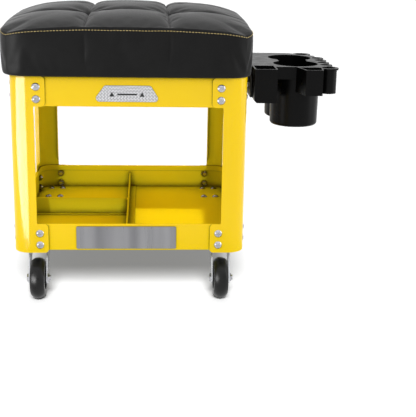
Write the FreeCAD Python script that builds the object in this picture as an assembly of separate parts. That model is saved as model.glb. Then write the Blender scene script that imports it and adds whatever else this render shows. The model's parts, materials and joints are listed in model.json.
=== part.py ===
"""Rolling work seat: a padded lid on hinges, two sheet-steel tool trays, a moulded side tray.

Millimetres, +Z up. The seat is drawn about the middle of its frame with the floor at zero, and
at the end the whole part is moved so that its origin is the bottom centre of its bounding box.
Front is -Y and the side tray is on +X.
"""
import FreeCAD
import Part
import math
import os

V = FreeCAD.Vector
X = V(1, 0, 0)
Y = V(0, 1, 0)
Z = V(0, 0, 1)

# Frame of bent sheet steel
frame_width = 350.0
frame_depth = 380.0
frame_top = 349.0
frame_corner_radius = 25.0
sheet = 1.5
cut_overrun = 1.0

# Trays, set inside the posts
caster_height = 84.0
lower_wall_height = 42.0
upper_wall_height = 44.0
hem_height = 9.0
hem_round_share = 0.6
tray_bend_radius = 2.0
tray_corner_ease = 1.0

# Corner posts
post_lap = 3.5
end_tab_reach = 53.0
end_leg_width = 36.0
side_tab_reach = 68.0
side_leg_width = 55.0
tab_corner_radius = 6.0
window_corner_radius = 1.8
return_edge = 7.0
return_edge_setback = 9.0

# Dividers of the lower tray
divider_height = 28.0
divider_flange = 11.0
long_divider_x = -5.5
cross_divider_y = 4.0

# Frame bolts
bolt_diameter = 6.0
bolt_hole = 6.6
bolt_head_diameter = 12.0
bolt_head_height = 3.2
bolt_thread_gap = 0.05
bolt_tail = 2.0
nut_across_flats = 10.0
nut_height = 4.6
cross_slot = 1.3
cross_length = 5.4
cross_depth = 1.7
bolt_corner_distance = 40.0
bolt_row_drop = 15.2
bolt_row_spacing = 18.2

# Plates on the front
label_top_left = -35.5
label_top_right = 31.5
label_bottom_left = -53.0
label_bottom_right = 46.0
label_rise = 8.0
label_height = 23.5
label_thickness = 0.8
label_corner_radius = 5.0
badge_left = -80.0
badge_right = 70.5
badge_rise = 3.0
badge_height = 34.8
badge_thickness = 1.0
badge_corner_radius = 1.5

# Casters
caster_side_inset = 33.5
caster_end_inset = 47.5
plate_width = 40.0
plate_depth = 76.0
plate_thickness = 2.5
plate_corner_radius = 6.0
plate_hole_width = 21.0
plate_hole_depth = 57.0
race_gap = 3.6
race_groove = 0.3
race_radius = 12.0
ball_diameter = 4.0
ball_count = 12
ball_slack = 0.1
crown_thickness = 2.5
crown_radius = 22.0
kingpin_radius = 4.0
kingpin_head_radius = 7.0
kingpin_head_height = 1.2
running_gap = 0.05
washer_height = 2.0
washer_gap = 0.1
fork_inner_width = 25.0
fork_sheet = 2.0
fork_half_depth = 17.0
fork_skirt = 7.0
fork_bend_radius = 4.5
axle_boss_radius = 9.0
trail = 25.0
wheel_radius = 32.0
tread_width = 22.0
tread_inner_radius = 21.0
tread_crown = 6.0
tread_gap = 0.05
hub_side_gap = 0.3
hub_boss_radius = 9.0
hub_web = 8.0
hub_rim = 3.0
axle_radius = 4.0
axle_head_height = 2.6
axle_head_across = 12.0

# Seat
seat_side_overhang = 9.0
seat_end_overhang = 7.0
seat_offset_x = -2.5
seat_corner_radius = 38.0
seat_rest_gap = 0.3
seat_side_height = 67.5
seat_crown = 26.0
seat_side_inset = 1.6
seat_bottom_inset = 4.0
seat_bottom_round = 6.0
seat_shoulder_inset = 9.0
seat_top_inset = 26.0
board_border = 16.0
board_corner_radius = 24.0
board_thickness = 12.0
cloth_thickness = 0.8
cushion_fit = 0.2

# Heights of the cushion's top as shares of its crown above the side seam, for each row from
# front to rear: at the side edge, an outer tuft, a valley between tufts, and the middle tuft
row_y_shares = (-1.0, -0.8, -0.56, -0.335, 0.0, 0.335, 0.56, 0.8, 1.0)
row_height_shares = (
    (-0.24, 0.04, 0.14, 0.12),
    (-0.04, 0.40, 0.30, 0.57),
    (0.07, 0.60, 0.47, 0.80),
    (0.12, 0.44, 0.35, 0.66),
    (0.13, 0.77, 0.67, 1.00),
    (0.12, 0.44, 0.35, 0.66),
    (0.07, 0.60, 0.47, 0.80),
    (-0.04, 0.40, 0.30, 0.57),
    (-0.24, 0.04, 0.14, 0.12),
)
valley_x_share = 0.335
outer_tuft_x_share = 0.66

# Seat hinges
hinge_x = 75.0
hinge_width = 44.0
hinge_leaf = 1.2
hinge_leaf_gap = 0.4
hinge_barrel_radius = 3.0
hinge_barrel_gap = 0.4
hinge_wall_gap = 1.0
hinge_pin_radius = 1.5
hinge_pin_head = 0.8
hinge_pin_head_share = 0.8
hinge_pin_end_gap = 0.1
hinge_drop = 15.5
hinge_seat_reach = 30.0
hinge_seat_screw_share = 0.6
hinge_knuckle_share = 0.4
hinge_notch_side = 0.6
hinge_corner_radius = 3.0
hinge_screw_spread = 28.0
hinge_screw_depth = 10.1
hinge_screw_radius = 2.0
hinge_screw_head_radius = 4.0
hinge_screw_head_height = 1.6
hinge_screw_hole_gap = 0.3
hinge_wood_screw_length = 11.0
hinge_nut_across = 6.0
hinge_nut_height = 2.0
hinge_cross_slot = 0.9
hinge_cross_length = 3.8
hinge_cross_depth = 0.9

# Side tray and its bracket
bracket_sheet = 2.0
seat_to_deck_gap = 8.5
bracket_drop = 11.0
bracket_height = 36.0
bracket_half_length = 88.0
bracket_bend_radius = 4.0
bracket_bolt_inset = 28.0
bracket_bolt_rise = 17.0
deck_rise = 2.0
deck_thickness = 3.0
deck_front = -76.0
deck_rear = 98.0
deck_rear_width = 82.0
deck_width = 122.0
deck_corner_cut = 8.0
deck_wall = 2.5
deck_wall_height = 49.0
deck_skirt = 20.0
cup_reach = 76.0
cup_setback = 41.0
cup_web = 2.0
cup_radius = 36.0
cup_wall = 2.6
cup_depth = 98.0
cup_draft = 1.2
cup_floor = 2.5
cup_edge_radius = 5.0
cup_drain_radius = 3.0
mug_slot_width = 47.0
mug_slot_depth = 32.0
bin_reach = 1.5
bin_width = 35.5
bin_length = 42.0
bin_lip = 1.5
bin_depth = 51.0
bin_chamfer = 4.0
pocket_wall = 2.2
front_pocket_depth = 40.0
front_pocket_reach = 72.0
front_pocket_back_width = 41.0
front_pocket_side_inset = 10.0
front_pocket_front_width = 27.0
front_pocket_length = 36.0
round_pocket_radius = 13.0
round_pocket_flange = 2.5
round_pocket_depth = 40.0
round_pocket_overhang = 0.5
round_pocket_advance = 4.0
rear_pocket_reach = 104.0
rear_pocket_setback = 12.0
slot_count = 4
slot_setback = 29.0
slot_spacing = 28.0
slot_radius = 9.6
slot_flange = 2.4
slot_depth = 27.0
tray_screw_inset = 14.0
tray_screw_count = 3
tray_screw_rise = 18.0
tray_screw_radius = 2.5
tray_screw_head_radius = 5.0
tray_screw_head_height = 2.8
tray_screw_nut_across = 8.0
tray_screw_nut_height = 4.0

# Places that follow from the sizes above
half_width = frame_width / 2
half_depth = frame_depth / 2
upper_floor = frame_top - upper_wall_height
lower_floor = caster_height
lower_top = lower_floor + lower_wall_height
tray_half_width = half_width - sheet
tray_half_depth = half_depth - sheet
tray_corner_radius = frame_corner_radius - sheet + tray_corner_ease
post_bottom = lower_floor - post_lap
caster_x = half_width - caster_side_inset
caster_y = half_depth - caster_end_inset
label_low = upper_floor + label_rise
label_high = label_low + label_height
badge_low = lower_floor + badge_rise
badge_high = badge_low + badge_height
seat_half_width = half_width + seat_side_overhang
seat_half_depth = half_depth + seat_end_overhang
board_half_width = seat_half_width - board_border
board_half_depth = seat_half_depth - board_border
seat_bottom = frame_top + seat_rest_gap
seat_seam = seat_bottom + seat_side_height
hinge_axis_y = tray_half_depth + hinge_wall_gap + hinge_barrel_radius
hinge_axis_z = seat_bottom - hinge_barrel_gap - hinge_barrel_radius
deck_left = seat_offset_x + seat_half_width + seat_to_deck_gap
deck_top = frame_top + deck_rise
deck_right = deck_left + deck_width
deck_wall_low = deck_top - deck_wall_height
bracket_high = deck_top - bracket_drop
bracket_low = bracket_high - bracket_height
bracket_bolt_y = bracket_half_length - bracket_bolt_inset
tray_screw_y = -(deck_front + tray_screw_inset)
cup_x = deck_left + cup_reach
cup_front_y = deck_front + cup_setback
cup_spacing = 2 * cup_radius + cup_web
bin_left = deck_left + bin_reach
bin_right = bin_left + bin_width
bin_front = deck_front - bin_length
bin_low = deck_top - bin_depth
front_pocket_low = deck_top - front_pocket_depth
front_pocket_back_left = deck_left + front_pocket_reach
front_pocket_back_right = front_pocket_back_left + front_pocket_back_width
front_pocket_front_left = front_pocket_back_left + front_pocket_side_inset
front_pocket_front_right = front_pocket_front_left + front_pocket_front_width
front_pocket_y = deck_front - front_pocket_length
round_pocket_x = deck_right + round_pocket_overhang
round_pocket_y = deck_front - round_pocket_advance
round_pocket_low = deck_top - round_pocket_depth
rear_pocket_x = deck_left + rear_pocket_reach
rear_pocket_y = deck_rear - rear_pocket_setback
slot_first_y = deck_front + slot_setback
slot_low = deck_top - slot_depth
plate_bottom = caster_height - plate_thickness
crown_top = plate_bottom - race_gap
crown_bottom = crown_top - crown_thickness
nodes = {}


def box(x0, x1, y0, y1, z0, z1):
    """Box between two values on each axis."""
    return Part.makeBox(x1 - x0, y1 - y0, z1 - z0, V(x0, y0, z0))


def cylinder(radius, start, direction, length):
    """Solid cylinder from a start point along a unit direction."""
    return Part.makeCylinder(radius, length, start, direction)


def rounded_outline(x0, x1, y0, y1, z, radius):
    """Closed wire of a rectangle with four round corners."""
    bend = radius * (1 - math.sqrt(0.5))
    edges = [
        Part.LineSegment(V(x0 + radius, y0, z), V(x1 - radius, y0, z)),
        Part.Arc(V(x1 - radius, y0, z), V(x1 - bend, y0 + bend, z), V(x1, y0 + radius, z)),
        Part.LineSegment(V(x1, y0 + radius, z), V(x1, y1 - radius, z)),
        Part.Arc(V(x1, y1 - radius, z), V(x1 - bend, y1 - bend, z), V(x1 - radius, y1, z)),
        Part.LineSegment(V(x1 - radius, y1, z), V(x0 + radius, y1, z)),
        Part.Arc(V(x0 + radius, y1, z), V(x0 + bend, y1 - bend, z), V(x0, y1 - radius, z)),
        Part.LineSegment(V(x0, y1 - radius, z), V(x0, y0 + radius, z)),
        Part.Arc(V(x0, y0 + radius, z), V(x0 + bend, y0 + bend, z), V(x0 + radius, y0, z)),
    ]
    return Part.Wire([edge.toShape() for edge in edges])


def rounded_slab(x0, x1, y0, y1, z0, z1, radius):
    """Upright slab with round vertical corners."""
    face = Part.Face(rounded_outline(x0, x1, y0, y1, z0, radius))
    return face.extrude(V(0, 0, z1 - z0))


def prism(points, direction):
    """Flat polygon pushed along a direction."""
    return Part.Face(Part.makePolygon(points + [points[0]])).extrude(direction)


def moved(shape, offset):
    """Copy of a shape at an offset."""
    copy = shape.copy()
    copy.translate(offset)
    return copy


def turned(shape, axis, degrees):
    """Copy of a shape turned about an axis through zero."""
    copy = shape.copy()
    copy.rotate(V(0, 0, 0), axis, degrees)
    return copy


def mirrored(shape, side_x, side_y):
    """Copy of a shape mirrored to the given sides, 1 or -1."""
    copy = shape
    if side_x < 0:
        copy = copy.mirror(V(0, 0, 0), X)
    if side_y < 0:
        copy = copy.mirror(V(0, 0, 0), Y)
    return copy


def aimed(shape, outward):
    """Copy of a shape made along +Z, turned so that +Z points outward."""
    copy = shape.copy()
    turn = FreeCAD.Placement(V(0, 0, 0), FreeCAD.Rotation(Z, outward))
    copy.Placement = turn.multiply(copy.Placement)
    return copy


def truss_bolt(radius, head_radius, head_height, slot, slot_length, slot_depth, length):
    """Bolt along Z: domed cross head above zero, shank below it."""
    rise = (head_radius ** 2 + head_height ** 2) / (2 * head_height)
    ball = Part.makeSphere(rise, V(0, 0, head_height - rise))
    head = ball.common(cylinder(head_radius, V(0, 0, 0), Z, head_height))
    across = box(-slot_length / 2, slot_length / 2, -slot / 2, slot / 2,
                 head_height - slot_depth, head_height + cut_overrun)
    head = head.cut(across.fuse(turned(across, Z, 90)))
    return head.fuse(cylinder(radius, V(0, 0, -length), Z, length)).removeSplitter()


def hex_nut(across_flats, height, bore_radius):
    """Hex nut along Z from zero up, with its corners turned down."""
    corner = across_flats / math.sqrt(3)
    points = []
    for i in range(6):
        turn = math.radians(60 * i)
        points.append(V(corner * math.cos(turn), corner * math.sin(turn), 0))
    nut = prism(points, V(0, 0, height))
    slope = corner - across_flats / 2
    cone = Part.makeCone(corner + height - slope, corner - slope, height)
    return nut.common(cone).cut(cylinder(bore_radius, V(0, 0, -height), Z, 3 * height))


def frame_bolt(grip):
    """Bolt of the frame for two or more sheets, with its head above zero."""
    return truss_bolt(bolt_diameter / 2, bolt_head_diameter / 2, bolt_head_height, cross_slot,
                      cross_length, cross_depth, grip + nut_height + bolt_tail)


def frame_nut(grip):
    """Nut of the frame, below the sheets of the given grip."""
    nut = hex_nut(nut_across_flats, nut_height, bolt_diameter / 2 + bolt_thread_gap)
    return moved(turned(nut, X, 180), V(0, 0, -grip))


def post_bolt_places(tray_top):
    """Place and outward direction of the 16 bolts that hold one tray in the four posts."""
    places = []
    for side_x in (-1, 1):
        for side_y in (-1, 1):
            for row in (0, 1):
                z = tray_top - bolt_row_drop - row * bolt_row_spacing
                x = side_x * (half_width - bolt_corner_distance)
                y = side_y * (half_depth - bolt_corner_distance)
                places.append((V(x, side_y * half_depth, z), Y * side_y))
                places.append((V(side_x * half_width, y, z), X * side_x))
    return places


def caster_places():
    """Side, side and name of each caster."""
    return [(-1, -1, "front_left"), (1, -1, "front_right"),
            (-1, 1, "rear_left"), (1, 1, "rear_right")]


def caster_bolt_places():
    """Points on the lower tray's floor where the casters' bolts pass."""
    points = []
    for side_x, side_y, corner in caster_places():
        for step_x in (-0.5, 0.5):
            for step_y in (-0.5, 0.5):
                points.append(V(side_x * caster_x + step_x * plate_hole_width,
                                side_y * caster_y + step_y * plate_hole_depth,
                                lower_floor + sheet))
    return points


def bored(shape, places, radius, depth):
    """Shape with a round hole through it at each place, along the place's direction."""
    holes = []
    for point, outward in places:
        start = point - outward * depth
        holes.append(cylinder(radius, start, outward, depth + cut_overrun))
    return shape.cut(holes)


def tray(floor, wall_height):
    """Open tray with bent edges and a hem folded in along its top."""
    top = floor + wall_height
    outer = rounded_slab(-tray_half_width, tray_half_width, -tray_half_depth, tray_half_depth,
                         floor, top, tray_corner_radius)
    low_edges = [edge for edge in outer.Edges if edge.BoundBox.ZMax < floor + sheet / 2]
    outer = outer.makeFillet(tray_bend_radius, low_edges)
    wide = rounded_slab(-tray_half_width + sheet, tray_half_width - sheet,
                        -tray_half_depth + sheet, tray_half_depth - sheet,
                        floor + sheet, top - hem_height, tray_corner_radius - sheet)
    narrow = rounded_slab(-tray_half_width + 2 * sheet, tray_half_width - 2 * sheet,
                          -tray_half_depth + 2 * sheet, tray_half_depth - 2 * sheet,
                          floor + sheet, top + cut_overrun, tray_corner_radius - 2 * sheet)
    shape = outer.cut([wide, narrow])
    rim_edges = [edge for edge in shape.Edges if edge.BoundBox.ZMin > top - sheet / 2]
    return shape.makeFillet(sheet * hem_round_share, rim_edges)


def hinge_notches():
    """Two shallow notches in the upper tray's rear wall where the hinge leaves pass."""
    depth = 2 * hinge_leaf + hinge_leaf_gap - seat_rest_gap
    half = hinge_width / 2 + hinge_notch_side
    cuts = []
    for side in (-1, 1):
        cuts.append(box(side * hinge_x - half, side * hinge_x + half,
                        tray_half_depth - 2 * sheet - cut_overrun, tray_half_depth + cut_overrun,
                        frame_top - depth, frame_top + cut_overrun))
    return cuts


def hinge_screw_places():
    """Points on the fixed leaves' faces where their screws sit."""
    face_y = tray_half_depth - 2 * sheet - hinge_leaf
    z = frame_top - hinge_screw_depth
    points = []
    for side in (-1, 1):
        for step in (-0.5, 0.5):
            points.append(V(side * hinge_x + step * hinge_screw_spread, face_y, z))
    return points


def bracket_bolt_places():
    """Points on the bracket's inner face where it is bolted to the upper tray."""
    x = tray_half_width + bracket_sheet
    return [V(x, -bracket_bolt_y, bracket_low + bracket_bolt_rise),
            V(x, -bracket_bolt_y / 3, bracket_low + bracket_bolt_rise),
            V(x, bracket_bolt_y / 3, bracket_low + bracket_bolt_rise),
            V(x, bracket_bolt_y, bracket_low + bracket_bolt_rise)]


def make_trays():
    """Upper and lower tray with all their holes."""
    through = 4 * sheet
    upper = tray(upper_floor, upper_wall_height)
    upper = bored(upper, post_bolt_places(frame_top), bolt_hole / 2, through)
    upper = upper.cut(hinge_notches())
    hinge_holes = [(point + Y * through, Y) for point in hinge_screw_places()]
    upper = bored(upper, hinge_holes, hinge_screw_radius + hinge_screw_hole_gap, through)
    side_holes = [(point, X) for point in bracket_bolt_places()]
    nodes["upper_tray"] = bored(upper, side_holes, bolt_hole / 2, through)
    lower = tray(lower_floor, lower_wall_height)
    lower = bored(lower, post_bolt_places(lower_top), bolt_hole / 2, through)
    floor_holes = [(point, Z) for point in caster_bolt_places()]
    nodes["lower_tray"] = bored(lower, floor_holes, bolt_hole / 2, through)


def post_leg_window(near, tab_end, face, low, high):
    """Outline of the sheet that is missing between a post's tabs, in the plane of one leg."""
    r = window_corner_radius
    far = tab_end + cut_overrun
    bend = r * (1 - math.sqrt(0.5))
    edges = [
        Part.LineSegment(face(far, low), face(near + r, low)),
        Part.Arc(face(near + r, low), face(near + bend, low + bend), face(near, low + r)),
        Part.LineSegment(face(near, low + r), face(near, high - r)),
        Part.Arc(face(near, high - r), face(near + bend, high - bend), face(near + r, high)),
        Part.LineSegment(face(near + r, high), face(far, high)),
        Part.LineSegment(face(far, high), face(far, low)),
    ]
    return Part.Face(Part.Wire([edge.toShape() for edge in edges]))


def make_post():
    """Post of the corner at +X and +Y: two legs with tabs, round corner and return edges."""
    outer = rounded_slab(0, half_width, 0, half_depth, post_bottom, frame_top,
                         frame_corner_radius)
    inner = rounded_slab(0, half_width - sheet, 0, half_depth - sheet,
                         post_bottom - cut_overrun, frame_top + cut_overrun,
                         frame_corner_radius - sheet)
    near = box(half_width - end_tab_reach, half_width, half_depth - side_tab_reach, half_depth,
               post_bottom, frame_top)
    post = outer.cut(inner).common(near)

    def rear_face(reach, z):
        return V(half_width - reach, half_depth, z)

    def side_face(reach, z):
        return V(half_width, half_depth - reach, z)

    low = lower_top
    high = upper_floor
    depth = return_edge * 2
    for face, inward, leg, tab_end in ((rear_face, Y * -1, end_leg_width, end_tab_reach),
                                       (side_face, X * -1, side_leg_width, side_tab_reach)):
        window = post_leg_window(leg, tab_end, face, low, high)
        post = post.cut(moved(window, inward * -cut_overrun).extrude(inward * depth))
        start = low + return_edge_setback
        end = high - return_edge_setback
        flange = [face(leg, start), face(leg, end)]
        flange += [face(leg, end - return_edge) + inward * return_edge,
                   face(leg, start + return_edge) + inward * return_edge]
        along = face(0, 0) - face(sheet, 0)
        post = post.fuse(prism(flange, along))
    corner_edges = []
    for edge in post.Edges:
        size = edge.BoundBox
        upright = size.ZLength < sheet / 2
        short = abs(edge.Length - sheet) < sheet / 10
        middle = (size.XMin + size.XMax) / 2
        across = (size.YMin + size.YMax) / 2
        past_end = half_width - middle - end_tab_reach
        past_side = half_depth - across - side_tab_reach
        at_tab = min(abs(past_end), abs(past_side)) < sheet / 10
        if upright and short and at_tab:
            corner_edges.append(edge)
    return post.makeFillet(tab_corner_radius, corner_edges).removeSplitter()


def make_posts():
    """The four corner posts, mirrored from one, with their bolt holes."""
    post = make_post()
    places = post_bolt_places(frame_top) + post_bolt_places(lower_top)
    for side_x, side_y, name in caster_places():
        own = [(point, way) for point, way in places
               if point.x * side_x > 0 and point.y * side_y > 0]
        shape = mirrored(post, side_x, side_y)
        nodes["post_" + name] = bored(shape, own, bolt_hole / 2, 3 * sheet)


def make_fasteners():
    """Bolts and nuts of the trays and casters, each kind one node of separate solids."""
    grip = 2 * sheet
    for name, tray_top in (("upper_tray", frame_top), ("lower_tray", lower_top)):
        bolts = []
        nuts = []
        for point, outward in post_bolt_places(tray_top):
            bolts.append(moved(aimed(frame_bolt(grip), outward), point))
            nuts.append(moved(aimed(frame_nut(grip), outward), point))
        nodes[name + "_bolts"] = Part.makeCompound(bolts)
        nodes[name + "_nuts"] = Part.makeCompound(nuts)
    grip = sheet + plate_thickness
    nodes["caster_bolts"] = Part.makeCompound(
        [moved(frame_bolt(grip), point) for point in caster_bolt_places()])
    nodes["caster_nuts"] = Part.makeCompound(
        [moved(frame_nut(grip), point) for point in caster_bolt_places()])


def make_dividers():
    """Two upright sheets on the lower tray's floor, each with a foot flange."""
    floor = lower_floor + sheet
    top = floor + divider_height
    reach = tray_half_depth - sheet
    wall = box(long_divider_x - sheet / 2, long_divider_x + sheet / 2, -reach, reach, floor, top)
    foot = box(long_divider_x - sheet / 2, long_divider_x + divider_flange, -reach, reach,
               floor, floor + sheet)
    nodes["long_divider"] = wall.fuse(foot).removeSplitter()
    left = -tray_half_width + sheet
    right = long_divider_x - sheet / 2
    wall = box(left, right, cross_divider_y - sheet / 2, cross_divider_y + sheet / 2, floor, top)
    foot = box(left, right, cross_divider_y - divider_flange, cross_divider_y + sheet / 2,
               floor, floor + sheet)
    end = box(right - sheet, right, cross_divider_y - divider_flange,
              cross_divider_y + sheet / 2, floor, top)
    nodes["cross_divider"] = wall.fuse([foot, end]).removeSplitter()


def make_front_plates():
    """Label above the opening and bare badge plate on the lower tray."""
    y = -tray_half_depth
    outline = [V(label_bottom_left, y, label_low), V(label_bottom_right, y, label_low),
               V(label_top_right, y, label_high), V(label_top_left, y, label_high)]
    label = prism(outline, Y * -label_thickness)
    corners = [edge for edge in label.Edges if edge.BoundBox.YLength > label_thickness / 2]
    nodes["label_plate"] = label.makeFillet(label_corner_radius, corners)
    badge = box(badge_left, badge_right, y - badge_thickness, y, badge_low, badge_high)
    corners = [edge for edge in badge.Edges
               if abs(edge.BoundBox.YLength - badge_thickness) < badge_thickness / 10]
    nodes["badge_plate"] = badge.makeFillet(badge_corner_radius, corners)


def caster_plate():
    """Top plate about the kingpin's axis, with bolt holes, race groove and pin seat."""
    plate = rounded_slab(-plate_width / 2, plate_width / 2, -plate_depth / 2, plate_depth / 2,
                         plate_bottom, caster_height, plate_corner_radius)
    holes = [cylinder(kingpin_radius + bolt_thread_gap, V(0, 0, plate_bottom - cut_overrun), Z,
                      plate_thickness + 2 * cut_overrun),
             cylinder(kingpin_head_radius + bolt_thread_gap,
                      V(0, 0, caster_height - kingpin_head_height), Z,
                      kingpin_head_height + cut_overrun),
             race_ring(plate_bottom, plate_bottom + race_groove)]
    for step_x in (-0.5, 0.5):
        for step_y in (-0.5, 0.5):
            start = V(step_x * plate_hole_width, step_y * plate_hole_depth,
                      plate_bottom - cut_overrun)
            holes.append(cylinder(bolt_hole / 2, start, Z, plate_thickness + 2 * cut_overrun))
    return plate.cut(holes)


def race_ring(low, high):
    """Flat ring that the balls run in."""
    half = ball_diameter / 2 + ball_slack
    ring = cylinder(race_radius + half, V(0, 0, low), Z, high - low)
    return ring.cut(cylinder(race_radius - half, V(0, 0, low), Z, high - low))


def caster_kingpin():
    """Kingpin with a head sunk in the plate and a washer under the crown."""
    low = crown_bottom - washer_gap
    pin = cylinder(kingpin_radius, V(0, 0, low), Z, caster_height - low)
    head = cylinder(kingpin_head_radius, V(0, 0, caster_height - kingpin_head_height), Z,
                    kingpin_head_height)
    washer = cylinder(kingpin_head_radius, V(0, 0, low - washer_height), Z, washer_height)
    return pin.fuse([head, washer]).removeSplitter()


def caster_balls():
    """Ring of bearing balls between plate and crown."""
    z = (plate_bottom + crown_top) / 2
    balls = []
    for i in range(ball_count):
        turn = 2 * math.pi * i / ball_count
        centre = V(race_radius * math.cos(turn), race_radius * math.sin(turn), z)
        balls.append(Part.makeSphere(ball_diameter / 2, centre))
    return Part.makeCompound(balls)


def tangent_point(point, centre, radius, side):
    """Point of a circle in the YZ plane where a line from outside touches it."""
    away = centre - point
    distance = away.Length
    turn = math.asin(radius / distance)
    heading = math.atan2(away.z, away.y) + side * turn
    reach = math.sqrt(distance ** 2 - radius ** 2)
    return point + V(0, reach * math.cos(heading), reach * math.sin(heading))


def caster_fork():
    """Bent-sheet fork about the kingpin's axis: crown, two legs down to the axle."""
    half = fork_inner_width / 2 + fork_sheet
    outer = rounded_u(half, crown_top, fork_bend_radius)
    inner = rounded_u(half - fork_sheet, crown_bottom, fork_bend_radius - fork_sheet)
    sheet_form = outer.cut(inner)
    axle = V(0, -trail, wheel_radius)
    shoulder = crown_top - fork_skirt
    front = V(0, -fork_half_depth, shoulder)
    rear = V(0, fork_half_depth, shoulder)
    front_touch = tangent_point(front, axle, axle_boss_radius, -1)
    rear_touch = tangent_point(rear, axle, axle_boss_radius, 1)
    lowest = V(0, axle.y, axle.z - axle_boss_radius)
    edges = [
        Part.LineSegment(V(0, -fork_half_depth, crown_top), V(0, fork_half_depth, crown_top)),
        Part.LineSegment(V(0, fork_half_depth, crown_top), rear),
        Part.LineSegment(rear, rear_touch),
        Part.Arc(rear_touch, lowest, front_touch),
        Part.LineSegment(front_touch, front),
        Part.LineSegment(front, V(0, -fork_half_depth, crown_top)),
    ]
    side = Part.Face(Part.Wire([edge.toShape() for edge in edges]))
    side.translate(V(-half - cut_overrun, 0, 0))
    fork = sheet_form.common(side.extrude(V(2 * half + 2 * cut_overrun, 0, 0)))
    swing = cylinder(crown_radius, V(0, 0, shoulder), Z, fork_skirt)
    below = box(-half, half, -trail - 2 * axle_boss_radius, fork_half_depth, 0, shoulder)
    fork = fork.common(swing.fuse(below))
    holes = [cylinder(kingpin_radius + running_gap, V(0, 0, crown_bottom - cut_overrun), Z,
                      crown_thickness + 2 * cut_overrun),
             race_ring(crown_top - race_groove, crown_top + cut_overrun),
             cylinder(axle_radius + bolt_thread_gap, axle - X * (half + cut_overrun), X,
                      2 * half + 2 * cut_overrun)]
    return fork.cut(holes).removeSplitter()


def rounded_u(half, top, radius):
    """Block under a sheet bent down at both sides, with round shoulders."""
    block = box(-half, half, -trail - 2 * axle_boss_radius, fork_half_depth, 0, top)
    shoulders = [edge for edge in block.Edges
                 if edge.BoundBox.YLength > trail and edge.BoundBox.ZMin > top / 2]
    return block.makeFillet(radius, shoulders)


def caster_axle():
    """Axle bolt through both fork legs, and its nut: two solids."""
    half = fork_inner_width / 2 + fork_sheet
    start = V(-half, -trail, wheel_radius)
    shank = cylinder(axle_radius, start, X, 2 * half + axle_head_height + bolt_tail)
    head = hex_nut(axle_head_across, axle_head_height, axle_radius / 2)
    plug = cylinder(axle_radius, V(0, 0, 0), Z, axle_head_height)
    head = moved(aimed(head.fuse(plug), X * -1), start)
    nut = hex_nut(axle_head_across, axle_head_height, axle_radius + bolt_thread_gap)
    nut = moved(aimed(nut, X), start + X * (2 * half))
    return Part.makeCompound([shank.fuse(head).removeSplitter(), nut])


def spun_ring(points, arcs):
    """Ring turned about the axle's line from points of (x, radius), with arcs over them."""
    edges = []
    for i in range(len(points)):
        first = points[i]
        second = points[(i + 1) % len(points)]
        start = V(first[0], -trail, wheel_radius + first[1])
        end = V(second[0], -trail, wheel_radius + second[1])
        if i in arcs:
            over = V(arcs[i][0], -trail, wheel_radius + arcs[i][1])
            edges.append(Part.Arc(start, over, end).toShape())
        else:
            edges.append(Part.LineSegment(start, end).toShape())
    face = Part.Face(Part.Wire(edges))
    return face.revolve(V(0, -trail, wheel_radius), X, 360)


def caster_tread():
    """Rubber tread, its running face one high crown."""
    half = tread_width / 2
    low = tread_inner_radius + tread_gap
    edge = wheel_radius - tread_crown
    points = [(-half, low), (half, low), (half, edge), (-half, edge)]
    return spun_ring(points, {2: (0, wheel_radius)})


def caster_hub():
    """Hub with a rim under the tread, a thin web and a boss on the axle."""
    half = tread_width / 2
    boss = fork_inner_width / 2 - hub_side_gap
    bore = axle_radius + running_gap
    rim = tread_inner_radius - hub_rim
    web = hub_web / 2
    points = [(-boss, bore), (boss, bore), (boss, hub_boss_radius), (web, hub_boss_radius),
              (web, rim), (half, rim), (half, tread_inner_radius),
              (-half, tread_inner_radius), (-half, rim), (-web, rim), (-web, hub_boss_radius),
              (-boss, hub_boss_radius)]
    return spun_ring(points, {})


def make_casters():
    """The pieces of one caster, repeated at the four corners."""
    pieces = {"plate": caster_plate(), "kingpin": caster_kingpin(), "balls": caster_balls(),
              "fork": caster_fork(), "axle": caster_axle(), "tread": caster_tread(),
              "hub": caster_hub()}
    for side_x, side_y, name in caster_places():
        offset = V(side_x * caster_x, side_y * caster_y, 0)
        for piece, shape in pieces.items():
            nodes["caster_" + name + "_" + piece] = moved(shape, offset)


def seat_outline(inset, z, corner_inset):
    """Level outline of the seat, drawn in by an inset."""
    return rounded_outline(seat_offset_x - seat_half_width + inset,
                           seat_offset_x + seat_half_width - inset,
                           -seat_half_depth + inset, seat_half_depth - inset, z,
                           seat_corner_radius - corner_inset)


def tufted_row(y, height_shares):
    """Cross-section of the cushion at one row, with three tufts along its top."""
    edge, outer, valley, middle = [seat_seam + share * seat_crown for share in height_shares]
    half = seat_half_width + cut_overrun
    valley_x = valley_x_share * seat_half_width
    tuft_x = outer_tuft_x_share * seat_half_width
    low = seat_bottom - cut_overrun

    def at(x, z):
        return V(seat_offset_x + x, y, z)

    edges = [
        Part.LineSegment(at(-half, low), at(half, low)),
        Part.LineSegment(at(half, low), at(half, edge)),
        Part.Arc(at(half, edge), at(tuft_x, outer), at(valley_x, valley)),
        Part.Arc(at(valley_x, valley), at(0, middle), at(-valley_x, valley)),
        Part.Arc(at(-valley_x, valley), at(-tuft_x, outer), at(-half, edge)),
        Part.LineSegment(at(-half, edge), at(-half, low)),
    ]
    return Part.Wire([edge.toShape() for edge in edges])


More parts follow.
